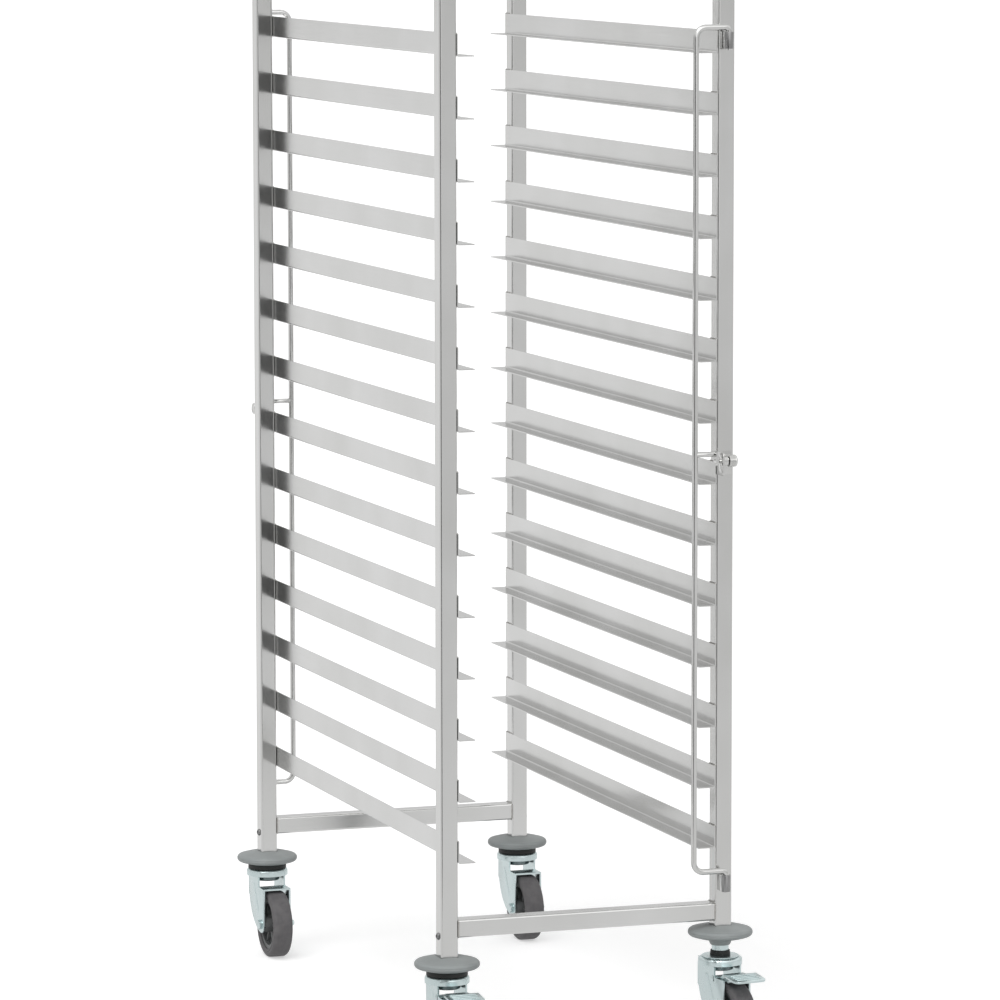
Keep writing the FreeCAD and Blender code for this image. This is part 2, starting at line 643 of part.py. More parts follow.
def make_pedal(name):
    """A brake lever between the legs, with a curved shoe and a wider tread plate in front."""
    body = new_body(name)
    low = "(pedal_pivot_z + pedal_eye)"
    high = f"({low} + pedal_lift)"
    shoe_start = "(castor_trail - 2 * pedal_eye)"
    shoe_end = "(castor_trail + shoe_length)"
    tread_start = f"({shoe_end} + pedal_sheet)"
    tread = [
        (tread_start, f"{high} - pedal_sheet"), ("pedal_reach", f"{high} - pedal_drop - pedal_sheet"),
        ("pedal_reach", f"{high} - pedal_drop"), (tread_start, high),
    ]
    lever = new_sketch(body, name + "_lever", "XZ_Plane")
    outline(lever, [
        ("pedal_pivot_x", "pedal_pivot_z - pedal_eye"),
        (shoe_start, shoe_height(shoe_start), f"-{SHOE_RADIUS}"), (shoe_end, shoe_height(shoe_end)),
        *tread,
        ("crown_diameter / 2 + pedal_sheet + pedal_lift", high),
        ("crown_diameter / 2 + pedal_sheet", low),
        ("pedal_pivot_x", low, "pedal_eye"),
        ("pedal_pivot_x - pedal_eye", "pedal_pivot_z", "pedal_eye"),
    ])
    pad(body, lever, "fork_gap - 2 * pedal_play", symmetric=True)
    plate = new_sketch(body, name + "_plate", "XZ_Plane")
    leg_front = "(castor_trail + leg_eye + pedal_sheet)"
    outline(plate, [(leg_front, f"{high} - pedal_sheet"), *tread, (leg_front, high)])
    pad(body, plate, "pedal_width", symmetric=True)
    eye = new_sketch(body, name + "_eye", "XZ_Plane")
    ring(eye, "pedal_pivot_x", "pedal_pivot_z", "rivet_diameter / 2 + rivet_play")
    pocket(body, eye, "fork_gap", symmetric=True)
    tip = value("pedal_reach")
    fillet(body, "pedal_corner", lambda edge: upright(edge) and abs(edge.Vertexes[0].X - tip) < NEAR)
    return body


def make_rivet(name):
    """The pedal's rivet, with a domed head outside each leg."""
    body = new_body(name)
    half = new_sketch(body, name + "_half", "XY_Plane")
    dome = "((rivet_head / 2) ^ 2 + rivet_head_height ^ 2) / (2 * rivet_head_height)"
    outline(half, [
        ("0", f"-{LEG_OUTSIDE} - rivet_head_height", dome), ("rivet_head / 2", f"-{LEG_OUTSIDE}"),
        ("rivet_diameter / 2", f"-{LEG_OUTSIDE}"), ("rivet_diameter / 2", LEG_OUTSIDE),
        ("rivet_head / 2", LEG_OUTSIDE, dome), ("0", f"{LEG_OUTSIDE} + rivet_head_height"),
    ])
    revolve(body, half)
    return body


def on_castor(thing, label, corner, out="0", z="0"):
    """Put a piece of a castor in place, out along the castor's own X."""
    x, y, turn = CORNERS[corner]
    place(thing, f"{x} + ({out}) * cos({turn})", f"{y} + ({out}) * sin({turn})", z, turn)
    return keep(thing, label)


screws = []
for corner, (x, y, turn) in CORNERS.items():
    left = corner.endswith("left")
    keep(place(make_bumper("bumper_" + corner), x, y), "bumper_" + corner)
    keep(place(make_stem("castor_stem_" + corner, -1 if left else 1), x, y), "castor_stem_" + corner)
    side = f"{x} - post_width / 2" if left else f"{x} + post_width / 2"
    screws.append(place(make_screw("screw_" + corner), side, y, "screw_height", "0" if left else HALF_TURN))
    on_castor(make_fork("fork_" + corner, corner.startswith("front")), "fork_" + corner, corner)
    axle = doc.addObject("Part::Compound", "axle_" + corner)
    axle.Links = [make(f"{kind}_{corner}") for kind, make in (
        ("bolt", make_bolt), ("sleeve", make_sleeve), ("nut", make_nut))]
    on_castor(axle, "axle_" + corner, corner, "castor_trail", AXLE_Z)
    on_castor(make_tyre("tyre_" + corner), "tyre_" + corner, corner, "castor_trail", AXLE_Z)
    on_castor(make_hub("hub_" + corner), "hub_" + corner, corner, "castor_trail", AXLE_Z)
group("stem_screws", screws)
for side in ("left", "right"):
    corner = "front_" + side
    on_castor(make_pedal("brake_pedal_" + side), "brake_pedal_" + side, corner)
    on_castor(make_rivet("pedal_rivet_" + side), "pedal_rivet_" + side, corner, "pedal_pivot_x", "pedal_pivot_z")

# Retaining bars: modelled about the pivot, with the wire to the left of it and the post behind.
TOP_LEG = f"({TOP_RAIL} + bar_above_rail)"
BOTTOM_LEG = "(lowest_rail - bar_below_rail)"


def make_bar(name):
    """A bent wire whose two ends turn down into sleeves, with a short rod and a tab at mid height."""
    body = new_body(name)
    start = new_sketch(body, name + "_end", "XY_Plane", f"{TOP_LEG} - pin_length")
    ring(start, "0", "0", "wire_diameter / 2")
    path = new_sketch(body, name + "_path", "XZ_Plane")
    outline(path, [
        ("0", f"{TOP_LEG} - pin_length"), ("0", f"{TOP_LEG} - pin_bend", "pin_bend"),
        ("-pin_bend", TOP_LEG), ("bar_bend - bar_leg", TOP_LEG, "bar_bend"),
        ("-bar_leg", f"{TOP_LEG} - bar_bend"), ("-bar_leg", f"{BOTTOM_LEG} + bar_bend", "bar_bend"),
        ("bar_bend - bar_leg", BOTTOM_LEG), ("-pin_bend", BOTTOM_LEG, "-pin_bend"),
        ("0", f"{BOTTOM_LEG} - pin_bend"), ("0", f"{BOTTOM_LEG} - pin_length"),
    ], closed=False)
    wire = body.newObject("PartDesign::AdditivePipe", name + "_wire")
    wire.Profile = start
    wire.Spine = (path, [f"Edge{number + 1}" for number in range(path.GeometryCount)])
    doc.recompute()
    rod = new_sketch(body, name + "_rod", "YZ_Plane", "-bar_leg")
    ring(rod, "0", "catch_height + rod_rise", "rod_diameter / 2")
    pad(body, rod, "bar_leg - tab_gap - tab_sheet / 2")
    tab = new_sketch(body, name + "_tab", "YZ_Plane", "-(tab_gap + tab_sheet)")
    half = "(tab_width / 2)"
    head = "(catch_height + rod_rise + rod_diameter / 2)"
    outline(tab, [
        (f"-{half}", "catch_height", half), ("0", f"catch_height - {half}", half),
        (half, "catch_height"), (half, head), (f"-{half}", head),
    ])
    ring(tab, "0", "catch_height", "plunger_diameter / 2 + tab_hole_play")
    pad(body, tab, "tab_sheet")
    return body


def make_bar_sleeve(name, leg):
    """A short tube for a pin, carried off the post by a plate."""
    body = new_body(name)
    section = new_sketch(body, name + "_section", "XY_Plane", f"{leg} - pin_bend - seat_gap - sleeve_height")
    radius = "(sleeve_outer / 2)"
    inner = f"({radius} - sleeve_plate)"
    outline(section, [
        (f"-{radius}", "0", radius), ("0", f"-{radius}", radius),
        (radius, "0", radius), (f"-{inner}", f"sqrt({radius} ^ 2 - {inner} ^ 2)"),
        (f"-{inner}", "pivot_out"), (f"-{radius}", "pivot_out"),
    ])
    ring(section, "0", "0", "wire_diameter / 2 + pin_play")
    pad(body, section, "sleeve_height")
    return body


def make_catch(name):
    """A folded bracket on the post's face, with the plunger's barrel on its ear."""
    body = new_body(name)
    foot = "(catch_height - catch_below)"
    head = "(catch_height + catch_above)"
    base = new_sketch(body, name + "_base", "XZ_Plane", "-pivot_out")
    outline(base, [
        ("-pivot_in", foot), ("catch_base - pivot_in", foot),
        ("catch_base - pivot_in", head), ("-pivot_in", head),
    ])
    pad(body, base, "catch_sheet")
    ear = new_sketch(body, name + "_ear", "YZ_Plane", "-pivot_in")
    front = "(pivot_out - catch_ear)"
    outline(ear, [
        (f"{front} + catch_round", foot), ("pivot_out", foot), ("pivot_out", head),
        (f"{front} + catch_round", head, "catch_round"), (front, f"{head} - catch_round"),
        (front, f"{foot} + catch_round", "catch_round"),
    ])
    pad(body, ear, "catch_sheet")
    barrel = new_sketch(body, name + "_barrel", "YZ_Plane", "catch_sheet - pivot_in")
    ring(barrel, "0", "catch_height", "barrel_diameter / 2")
    pad(body, barrel, "barrel_length")
    bore = new_sketch(body, name + "_bore", "YZ_Plane", "catch_sheet + barrel_length - pivot_in")
    ring(bore, "0", "catch_height", "plunger_diameter / 2 + plunger_play")
    pocket(body, bore, "catch_sheet + barrel_length")
    return body


def make_knob(name):
    """A pull knob that covers the barrel, with its plunger pin, turned about X."""
    body = new_body(name)
    half = new_sketch(body, name + "_half", "XZ_Plane")
    start = "(catch_sheet + barrel_length + knob_gap - pivot_in)"
    cavity = f"({start} + knob_length - knob_end)"
    outline(half, [
        ("-(pivot_in + plunger_diameter / 2)", "0"), (f"{start} + knob_length", "0"),
        (f"{start} + knob_length", "knob_diameter / 2 - knob_round", "knob_round"),
        (f"{start} + knob_length - knob_round", "knob_diameter / 2"),
        (start, "knob_diameter / 2"), (start, "barrel_diameter / 2 + knob_play"),
        (cavity, "barrel_diameter / 2 + knob_play"), (cavity, "plunger_diameter / 2"),
        ("-(pivot_in + plunger_diameter / 2)", "plunger_diameter / 2"),
    ])
    revolve(body, half, "H_Axis")
    return body


PIVOTS = {
    "front": ("(frame_width / 2 - post_width + pivot_in)", f"({FRONT_Y} - post_width / 2 - pivot_out)", "0"),
    "rear": ("(post_width - frame_width / 2 - pivot_in)", f"({REAR_Y} + post_width / 2 + pivot_out)", HALF_TURN),
}
for end, (x, y, turn) in PIVOTS.items():
    keep(place(make_bar("retaining_bar_" + end), x, y, turn=turn), "retaining_bar_" + end)
    keep(place(make_catch("catch_bracket_" + end), x, y, turn=turn), "catch_bracket_" + end)
    keep(place(make_knob("catch_knob_" + end), x, y, "catch_height", turn), "catch_knob_" + end)
    sleeves = [make_bar_sleeve("sleeve_top_" + end, TOP_LEG), make_bar_sleeve("sleeve_bottom_" + end, BOTTOM_LEG)]
    place(group("bar_sleeves_" + end, sleeves), x, y, turn=turn)

# Every object must have computed, and every piece must be a sound solid, before any is written.
doc.recompute()
for thing in doc.Objects:
    if "Invalid" in thing.State or "Error" in thing.State:
        raise RuntimeError(f"{thing.Label} failed: {thing.State}")
for piece in pieces:
    if piece.Shape.isNull() or not piece.Shape.isValid() or not piece.Shape.Solids:
        raise RuntimeError(f"{piece.Label} is not a valid solid")

os.makedirs("parts", exist_ok=True)
for piece in pieces:
    piece.Shape.exportStep(os.path.join("parts", piece.Label + ".step"))
print(f"{len(pieces)} nodes written")
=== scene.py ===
import json
import math

import bpy
from mathutils import Matrix, Vector

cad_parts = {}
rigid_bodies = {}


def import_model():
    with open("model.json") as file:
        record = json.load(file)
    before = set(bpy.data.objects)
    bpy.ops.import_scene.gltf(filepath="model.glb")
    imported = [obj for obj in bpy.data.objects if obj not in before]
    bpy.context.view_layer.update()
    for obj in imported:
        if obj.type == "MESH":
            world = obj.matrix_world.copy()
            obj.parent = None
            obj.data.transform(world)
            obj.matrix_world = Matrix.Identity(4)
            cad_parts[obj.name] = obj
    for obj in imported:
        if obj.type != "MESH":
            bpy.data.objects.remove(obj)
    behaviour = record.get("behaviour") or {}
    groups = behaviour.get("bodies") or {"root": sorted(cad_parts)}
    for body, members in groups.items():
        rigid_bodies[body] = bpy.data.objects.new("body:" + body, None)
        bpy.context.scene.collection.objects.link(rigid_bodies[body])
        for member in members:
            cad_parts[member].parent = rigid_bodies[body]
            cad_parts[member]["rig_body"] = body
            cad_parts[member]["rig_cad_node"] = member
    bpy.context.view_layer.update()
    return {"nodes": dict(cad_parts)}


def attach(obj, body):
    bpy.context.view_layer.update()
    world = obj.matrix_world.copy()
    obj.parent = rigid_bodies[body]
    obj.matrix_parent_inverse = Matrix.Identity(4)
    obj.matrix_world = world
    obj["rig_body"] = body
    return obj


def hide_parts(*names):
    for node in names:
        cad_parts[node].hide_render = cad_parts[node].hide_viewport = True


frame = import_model()
nodes = frame["nodes"]
bpy.ops.object.select_all(action="DESELECT")

# Posts, cross bars and rails: stainless steel tube and folded sheet, ground along their length
# by the mill and polished before they are welded up. The front right post has a shorter foot.
CORNERS = ("front_left", "front_right", "rear_left", "rear_right")
LEVELS = range(1, 15)
POST_X, FRONT_Y, REAR_Y = 0.2015, -0.40775, 0.45725
HALF_POST = 0.0125
EVEN = (1.0, 1.0, 1.0)


def add_node(mat, kind, **values):
    """A node in a material, with the given numbers on its sockets."""
    node = mat.node_tree.nodes.new(kind)
    for socket, number in values.items():
        node.inputs[socket.replace("_", " ")].default_value = number
    return node


def new_material(name, metallic=0.0):
    """An empty material with a Principled shader, and its object coordinates."""
    mat = bpy.data.materials.new(name)
    mat.use_nodes = True
    shader = mat.node_tree.nodes["Principled BSDF"]
    shader.inputs["Metallic"].default_value = metallic
    place = add_node(mat, "ShaderNodeTexCoord").outputs["Object"]
    return mat, shader, place


def noise(mat, place, scale, size, detail=3.0):
    """A noise over the object, stretched by three scales."""
    stretch = add_node(mat, "ShaderNodeMapping", Scale=scale)
    cloud = add_node(mat, "ShaderNodeTexNoise", Scale=size, Detail=detail)
    mat.node_tree.links.new(place, stretch.inputs["Vector"])
    mat.node_tree.links.new(stretch.outputs["Vector"], cloud.inputs["Vector"])
    return cloud.outputs[0]


def drift(mat, factor, low, high):
    """Two shades that a noise runs between."""
    ramp = add_node(mat, "ShaderNodeValToRGB")
    ramp.color_ramp.elements[0].position = 0.3
    ramp.color_ramp.elements[1].position = 0.7
    ramp.color_ramp.elements[0].color = (*low, 1.0)
    ramp.color_ramp.elements[1].color = (*high, 1.0)
    mat.node_tree.links.new(factor, ramp.inputs["Fac"])
    return ramp.outputs["Color"]


def between(mat, factor, low, high):
    """A number that runs from low to high with a noise."""
    span = add_node(mat, "ShaderNodeMapRange", From_Min=0.3, From_Max=0.7, To_Min=low, To_Max=high)
    mat.node_tree.links.new(factor, span.inputs["Value"])
    return span.outputs["Result"]


def relief(mat, shader, factor, strength, depth):
    """A fine relief from a noise."""
    bump = add_node(mat, "ShaderNodeBump", Strength=strength, Distance=depth)
    mat.node_tree.links.new(factor, bump.inputs["Height"])
    mat.node_tree.links.new(bump.outputs["Normal"], shader.inputs["Normal"])


def weakened(mat, factor, share):
    """A share of a noise, to be added to another."""
    weaker = add_node(mat, "ShaderNodeMath")
    weaker.operation = "MULTIPLY"
    weaker.inputs[1].default_value = share
    mat.node_tree.links.new(factor, weaker.inputs[0])
    return weaker.outputs[0]


def polished_steel(name, lines, smoothest, roughest):
    """Stainless steel whose grinding lines run along the axis with the small scale."""
    mat, shader, place = new_material(name, metallic=1.0)
    grain = noise(mat, place, lines, 1.0, detail=4.0)
    clouds = noise(mat, place, (7.0, 7.0, 5.0), 1.0)
    link = mat.node_tree.links.new
    link(drift(mat, clouds, (0.59, 0.59, 0.58), (0.67, 0.67, 0.665)), shader.inputs["Base Color"])
    grain_share = 0.6
    both = add_node(mat, "ShaderNodeMath")
    both.operation = "MULTIPLY_ADD"
    both.inputs[1].default_value = grain_share
    link(grain, both.inputs[0])
    link(weakened(mat, clouds, 1 - grain_share), both.inputs[2])
    link(between(mat, both.outputs[0], smoothest, roughest), shader.inputs["Roughness"])
    relief(mat, shader, grain, 0.05, 0.0001)
    return mat


def coat(piece, mat):
    """Give a piece or a node one material all over."""
    piece.data.materials.clear()
    piece.data.materials.append(mat)


steel_upright = polished_steel("steel_ground_upright", (1500.0, 1500.0, 12.0), 0.10, 0.22)
steel_across = polished_steel("steel_ground_across", (12.0, 1500.0, 1500.0), 0.10, 0.22)
steel_lengthwise = polished_steel("steel_ground_lengthwise", (1500.0, 12.0, 1500.0), 0.14, 0.25)
for corner in CORNERS:
    coat(nodes["post_" + corner], steel_upright)
for bar in ("bottom_bar_front", "bottom_bar_rear", "top_bar_front", "top_bar_rear"):
    coat(nodes[bar], steel_across)
for level in LEVELS:
    coat(nodes[f"rail_pair_{level:02d}"], steel_lengthwise)


def copy_to(piece, name, place=(0, 0, 0), turn=0, axis="Z"):
    """A copy with its own mesh, turned about the world's axis and set down at a place."""
    copy = piece.copy()
    copy.data = piece.data.copy()
    copy.name = copy.data.name = name
    bpy.context.scene.collection.objects.link(copy)
    copy.data.transform(Matrix.Translation(place) @ Matrix.Rotation(math.radians(turn), 4, axis))
    return copy


def merged_copy(node, name):
    """The node's own shape as one clean mesh, to be worked on."""
    bpy.ops.object.select_all(action="DESELECT")
    piece = copy_to(nodes[node], name)
    piece.parent = None
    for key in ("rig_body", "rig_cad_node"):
        del piece[key]
    piece.select_set(True)
    bpy.context.view_layer.objects.active = piece
    bpy.ops.object.mode_set(mode="EDIT")
    bpy.ops.mesh.select_all(action="SELECT")
    bpy.ops.mesh.remove_doubles(threshold=1e-6)
    bpy.ops.mesh.dissolve_limited(angle_limit=math.radians(1))
    bpy.ops.object.mode_set(mode="OBJECT")
    return piece


def drop(*parts):
    """Take away pieces that served as patterns."""
    for part in parts:
        bpy.data.objects.remove(part)


def carve(piece, tool, operation="DIFFERENCE"):
    """Cut a tool's shape out of a piece, or weld it on, and take the tool away."""
    bpy.ops.object.select_all(action="DESELECT")
    bpy.context.view_layer.objects.active = piece
    cut = piece.modifiers.new("cut", "BOOLEAN")
    cut.operation = operation
    cut.object = tool
    bpy.ops.object.modifier_apply(modifier="cut")
    drop(tool)


def replace(piece, node, body):
    """Let a piece stand for a node: hide the node and put the piece on the given body."""
    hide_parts(node)
    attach(piece, body)


foot, saw = 0.171, 0.05
short_post = merged_copy("post_front_right", "short_post_front_right")
bpy.ops.mesh.primitive_cube_add(size=saw, location=(POST_X, FRONT_Y, foot - saw / 2))
carve(short_post, bpy.context.object)
coat(short_post, steel_upright)
replace(short_post, "post_front_right", "frame")

# Weld seams: short rippled beads of stainless filler where each rail's web meets its post and
# where the cross bars butt against the posts, brushed but left a little duller than the tube.


def turned(name, rings, sides, closed=True):
    """Turn a piece round Z from rings of (radius, height) in millimetres.

    A circle is drawn at the first ring, then extruded and scaled from ring to ring. A closed
    piece comes back to its first ring; an open one is capped at both ends.
    """
    bpy.ops.object.select_all(action="DESELECT")
    rings = [(wide / 1000, high / 1000) for wide, high in rings]
    radius, height = rings[0]
    fill = "NOTHING" if closed else "NGON"
    bpy.ops.mesh.primitive_circle_add(
        vertices=sides, radius=radius, location=(0, 0, height), fill_type=fill)
    piece = bpy.context.object
    piece.name = piece.data.name = name
    bpy.ops.object.mode_set(mode="EDIT")
    bpy.ops.mesh.select_all(action="SELECT")
    for wide, high in rings[1:] + rings[:closed]:
        bpy.ops.mesh.extrude_region_move(TRANSFORM_OT_translate={"value": (0, 0, high - height)})
        scale = wide / radius
        bpy.ops.transform.resize(value=(scale, scale, 1), center_override=(0, 0, high))
        radius, height = wide, high
    tidy_mesh()
    bpy.ops.object.mode_set(mode="OBJECT")
    bpy.ops.object.transform_apply(location=True, rotation=True, scale=True)
    return piece


def tidy_mesh():
    """Merge what lies on itself and turn all faces outwards."""
    bpy.ops.mesh.select_all(action="SELECT")
    bpy.ops.mesh.remove_doubles(threshold=1e-6)
    bpy.ops.mesh.normals_make_consistent(inside=False)


def smooth(piece, angle=35):
    """Smooth the piece's shading where its faces meet at less than an angle."""
    bpy.ops.object.select_all(action="DESELECT")
    piece.select_set(True)
    bpy.context.view_layer.objects.active = piece
    bpy.ops.object.shade_smooth_by_angle(angle=math.radians(angle))


def joined(name, parts):
    """Make several meshes one piece."""
    bpy.ops.object.select_all(action="DESELECT")
    for part in parts:
        part.select_set(True)
    bpy.context.view_layer.objects.active = parts[0]
    bpy.ops.object.join()
    parts[0].name = parts[0].data.name = name
    return parts[0]


ripples = [(0.6, -11.2)]
for step in range(22):
    ripples += [(1.25, -11 + step), (1.02, -10.5 + step)]
ripples += [(0.6, 11.2)]
bead = turned("bead", ripples, 12, closed=False)
long_bead = copy_to(bead, "long_bead", turn=90, axis="X")
cross_bead = copy_to(bead, "cross_bead")
weld_metal, shader, place = new_material("weld_metal", metallic=1.0)
cloud = noise(weld_metal, place, EVEN, 260.0)
link = weld_metal.node_tree.links.new
link(drift(weld_metal, cloud, (0.42, 0.41, 0.39), (0.56, 0.55, 0.53)), shader.inputs["Base Color"])
link(between(weld_metal, cloud, 0.28, 0.42), shader.inputs["Roughness"])
first_seam, pitch = 0.3171, 0.085
seam_x, to_edge = 0.1886, 0.0122
low_bar, high_bar = 0.1955, 1.5095
seams = []
for level in LEVELS:
    top = first_seam + pitch * (level - 1)
    for side in (-1, 1):
        for y in (FRONT_Y, REAR_Y):
            seams.append(copy_to(long_bead, "seam", (side * seam_x, y, top)))
rail_welds = joined("rail_welds", seams)
seams = []
for y, outward in ((FRONT_Y, -1), (REAR_Y, 1)):
    for z in (low_bar, high_bar):
        for side in (-1, 1):
            x = side * seam_x
            seams.append(copy_to(cross_bead, "seam", (x, y + outward * to_edge, z)))
            seams.append(copy_to(cross_bead, "seam", (x, y - outward * to_edge, z)))
            seams.append(copy_to(long_bead, "seam", (x, y, z - to_edge)))
            seams.append(copy_to(long_bead, "seam", (x, y, z + to_edge)))
bar_welds = joined("bar_welds", seams)
for piece in (rail_welds, bar_welds):
    smooth(piece, 60)
    coat(piece, weld_metal)
    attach(piece, "frame")
drop(bead, long_bead, cross_bead)

# Post caps: dark plastic plugs, moulded in one piece and knocked into the open tops of the
# four posts, where they hold by friction.


def moulded_plastic(name, low, high, rough):
    """Plastic from a grained mould, its colour drifting a little over the piece."""
    mat, shader, place = new_material(name)
    flow = noise(mat, place, EVEN, 24.0)
    texture = noise(mat, place, EVEN, 900.0, detail=2.0)
    link = mat.node_tree.links.new
    link(drift(mat, flow, low, high), shader.inputs["Base Color"])
    link(between(mat, texture, rough - 0.06, rough + 0.08), shader.inputs["Roughness"])
    relief(mat, shader, texture, 0.25, 0.00015)
    return mat


cap_plastic = moulded_plastic("cap_plastic", (0.105, 0.11, 0.11), (0.13, 0.135, 0.135), 0.5)
coat(nodes["post_caps"], cap_plastic)

# Bumpers: thick moulded discs of grey plastic, pushed onto the stems under the posts, so that
# the trolley rubs along walls on them. The front right one stands higher, with a collar below.
CASTORS = {
    "front_left": (-POST_X, FRONT_Y, -90),
    "front_right": (POST_X, FRONT_Y, -84),
    "rear_left": (-POST_X, REAR_Y, -90),
    "rear_right": (POST_X, REAR_Y, -90),
}
RISE = {"front_right": 0.019}


def arc(centre, radius, first, last, steps):
    """Points of (radius, height) along an arc, its angles in degrees from straight out."""
    points = []
    for step in range(steps + 1):
        angle = math.radians(first + (last - first) * step / steps)
        points.append((centre[0] + radius * math.cos(angle), centre[1] + radius * math.sin(angle)))
    return points


bumper_plastic = moulded_plastic("bumper_plastic", (0.25, 0.27, 0.27), (0.30, 0.32, 0.32), 0.48)
rim = arc((40, 146), 5.5, -90, -7, 9) + [(45.1, 146)] + arc((40, 146), 5.5, 7, 90, 9)
above = [(38, 152.2), (34, 153.3), (30, 154.3), (26, 155.1), (22, 155.7), (19, 156), (11.1, 156)]
bowl = [(11.1, 133.6), (14, 133.6), (18, 136), (24, 136.9), (30, 137.6), (35, 138.8), (38, 139.9)]
bumper = turned("bumper", bowl + rim + above, 96)
bpy.ops.mesh.primitive_cube_add(size=0.0256, location=(0, 0, 0.1648))
carve(bumper, bpy.context.object)
smooth(bumper, 40)
coat(bumper, bumper_plastic)
for corner, (x, y, turn) in CASTORS.items():
    copy = copy_to(bumper, "moulded_bumper_" + corner, (x, y, RISE.get(corner, 0)))
    if corner in RISE:
        collar = turned("collar", [
            (12.1, 147), (13.6, 147), (14.2, 147.6), (17.4, 155.5), (18, 157), (12.1, 157)], 64)
        smooth(collar)
        coat(collar, bumper_plastic)
        collar.data.transform(Matrix.Translation((x, y, 0)))
        copy = joined("moulded_bumper_" + corner, [copy, collar])
    replace(copy, "bumper_" + corner, "frame")
drop(bumper)

# Castor stems: turned steel with a neck, a flange over the ball race and a riveted king pin,
# zinc plated. A black ring over the race is painted shade for the gap under the low bumpers,
# and the long neck has a narrow black plastic seal.


def zinc_plate(name, low=(0.55, 0.64, 0.645), high=(0.65, 0.74, 0.745)):
    """Bright zinc plating: a cool tint with faint clouds and a fine crystal grain."""
    mat, shader, place = new_material(name, metallic=1.0)
    clouds = noise(mat, place, EVEN, 55.0)
    crystal = noise(mat, place, EVEN, 1400.0, detail=1.0)
    link = mat.node_tree.links.new
    link(drift(mat, clouds, low, high), shader.inputs["Base Color"])
    link(between(mat, clouds, 0.22, 0.38), shader.inputs["Roughness"])
    relief(mat, shader, crystal, 0.12, 0.0001)
    return mat


zinc = zinc_plate("zinc_plating")
rivet_and_flange = [
    (8.5, 121.7), (8.5, 127), (8.2, 127.2), (5, 127.2), (5, 130.3), (25.7, 130.3),
    (26, 130.6), (26, 131.7), (25.7, 132), (12, 132)]
neck = [(12, 133.5), (10.7, 133.5), (10.7, 212), (9.2, 213.5)]
for corner, (x, y, turn) in CASTORS.items():
    lift = 1000 * RISE.get(corner, 0)
    stem = turned(
        "turned_stem_" + corner, rivet_and_flange + [(wide, high + lift) for wide, high in neck],
        64, closed=False)
    stem.data.transform(Matrix.Translation((x, y, 0)))
    smooth(stem)
    coat(stem, zinc)
    replace(stem, "castor_stem_" + corner, "frame")
black_seal_and_painted_shade = moulded_plastic("black_seal_and_painted_shade", (0.005, 0.007, 0.0065), (0.009, 0.012, 0.0115), 0.55)
# The wide black ring on the low castors is painted shade, darkening the gap under the bumper; the
# narrow ring is the long neck's real black seal.
painted_shade_ring = [
    (26.3, 130.4), (28.3, 130.4), (28.8, 130.9), (28.8, 136.6), (28.2, 137.2), (16, 136),
    (16, 132.2), (26.3, 132.2)]
neck_seal = [(12.1, 132.1), (14.2, 132.1), (14.4, 132.6), (13.6, 139), (13.1, 139.6), (12.1, 139.6)]
for corner, (x, y, turn) in CASTORS.items():
    seal = turned("seal_and_painted_shade_ring_" + corner, neck_seal if corner in RISE else painted_shade_ring, 64)
    seal.data.transform(Matrix.Translation((x, y, 0)))
    smooth(seal)
    coat(seal, black_seal_and_painted_shade)
    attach(seal, "frame")

# Stem screws: dome-headed socket screws of stainless steel, one at the outer side of each
# post's foot. It goes through the tube into the stem and clamps it there.


def hexagon(width, depth):
    """A hexagonal bar of a width across its flats, its middle at the origin."""
    bpy.ops.mesh.primitive_cylinder_add(vertices=6, radius=width / math.sqrt(3), depth=depth)
    return bpy.context.object


dome = arc((0, -2.147), 5.747, 25.2, 84, 10)
screw = turned("screw", [(2.5, -7), (2.5, 0), (5, 0), (5.2, 0.3)] + dome, 48, closed=False)
socket = hexagon(0.004, 0.0044)
top_of_dome, clamp_height = 0.0036, 0.185
socket.data.transform(Matrix.Translation((0, 0, top_of_dome)))
carve(screw, socket)
smooth(screw)
screws = []
for corner, (x, y, turn) in CASTORS.items():
    side = -1 if x < 0 else 1
    spot = (x + side * HALF_POST, y, clamp_height)
    screws.append(copy_to(screw, "screw", spot, side * 90, "Y"))
dome_screws = joined("dome_screws", screws)
dulled_steel = zinc_plate("dulled_steel", (0.20, 0.20, 0.20), (0.28, 0.28, 0.28))
coat(dome_screws, dulled_steel)
replace(dome_screws, "stem_screws", "frame")
drop(screw)

# Forks: stamped from steel sheet with a round crown over the balls and two swept legs, the
# edges rounded by the press, a stiffening bead pushed out of each leg, then zinc plated. The
# cup that holds the balls is pressed in under the crown; its dark colour is painted shade for
# the recess there.


def castor_place(corner):
    """Where a castor stands and which way it points."""
    x, y, turn = CASTORS[corner]
    return Matrix.Translation((x, y, 0)) @ Matrix.Rotation(math.radians(turn), 4, "Z")


def lift_part(piece, low, high, offset):
    """Move up what lies between two heights."""
    bpy.ops.object.mode_set(mode="EDIT")
    bpy.ops.mesh.select_mode(type="VERT")
    bpy.ops.mesh.select_all(action="DESELECT")
    bpy.ops.object.mode_set(mode="OBJECT")
    for vertex in piece.data.vertices:
        vertex.select = low < vertex.co.z < high
    bpy.ops.object.mode_set(mode="EDIT")
    bpy.ops.transform.translate(value=(0, 0, offset))
    bpy.ops.object.mode_set(mode="OBJECT")


def widen_fork(fork, at):
    """Set the legs further apart, and their rear edges further back."""
    leg_faces, rear_edge = (0.017, 0.0195), -0.024
    outward, backward = 0.002, 0.003
    fork.data.transform(at.inverted())
    for vertex in fork.data.vertices:
        reach = abs(vertex.co.y)
        if min(abs(reach - face) for face in leg_faces) > 0.00005:
            continue
        vertex.co.y += math.copysign(outward, vertex.co.y)
        if abs(vertex.co.x - rear_edge) < 0.0003:
            vertex.co.x -= backward
    fork.data.transform(at)


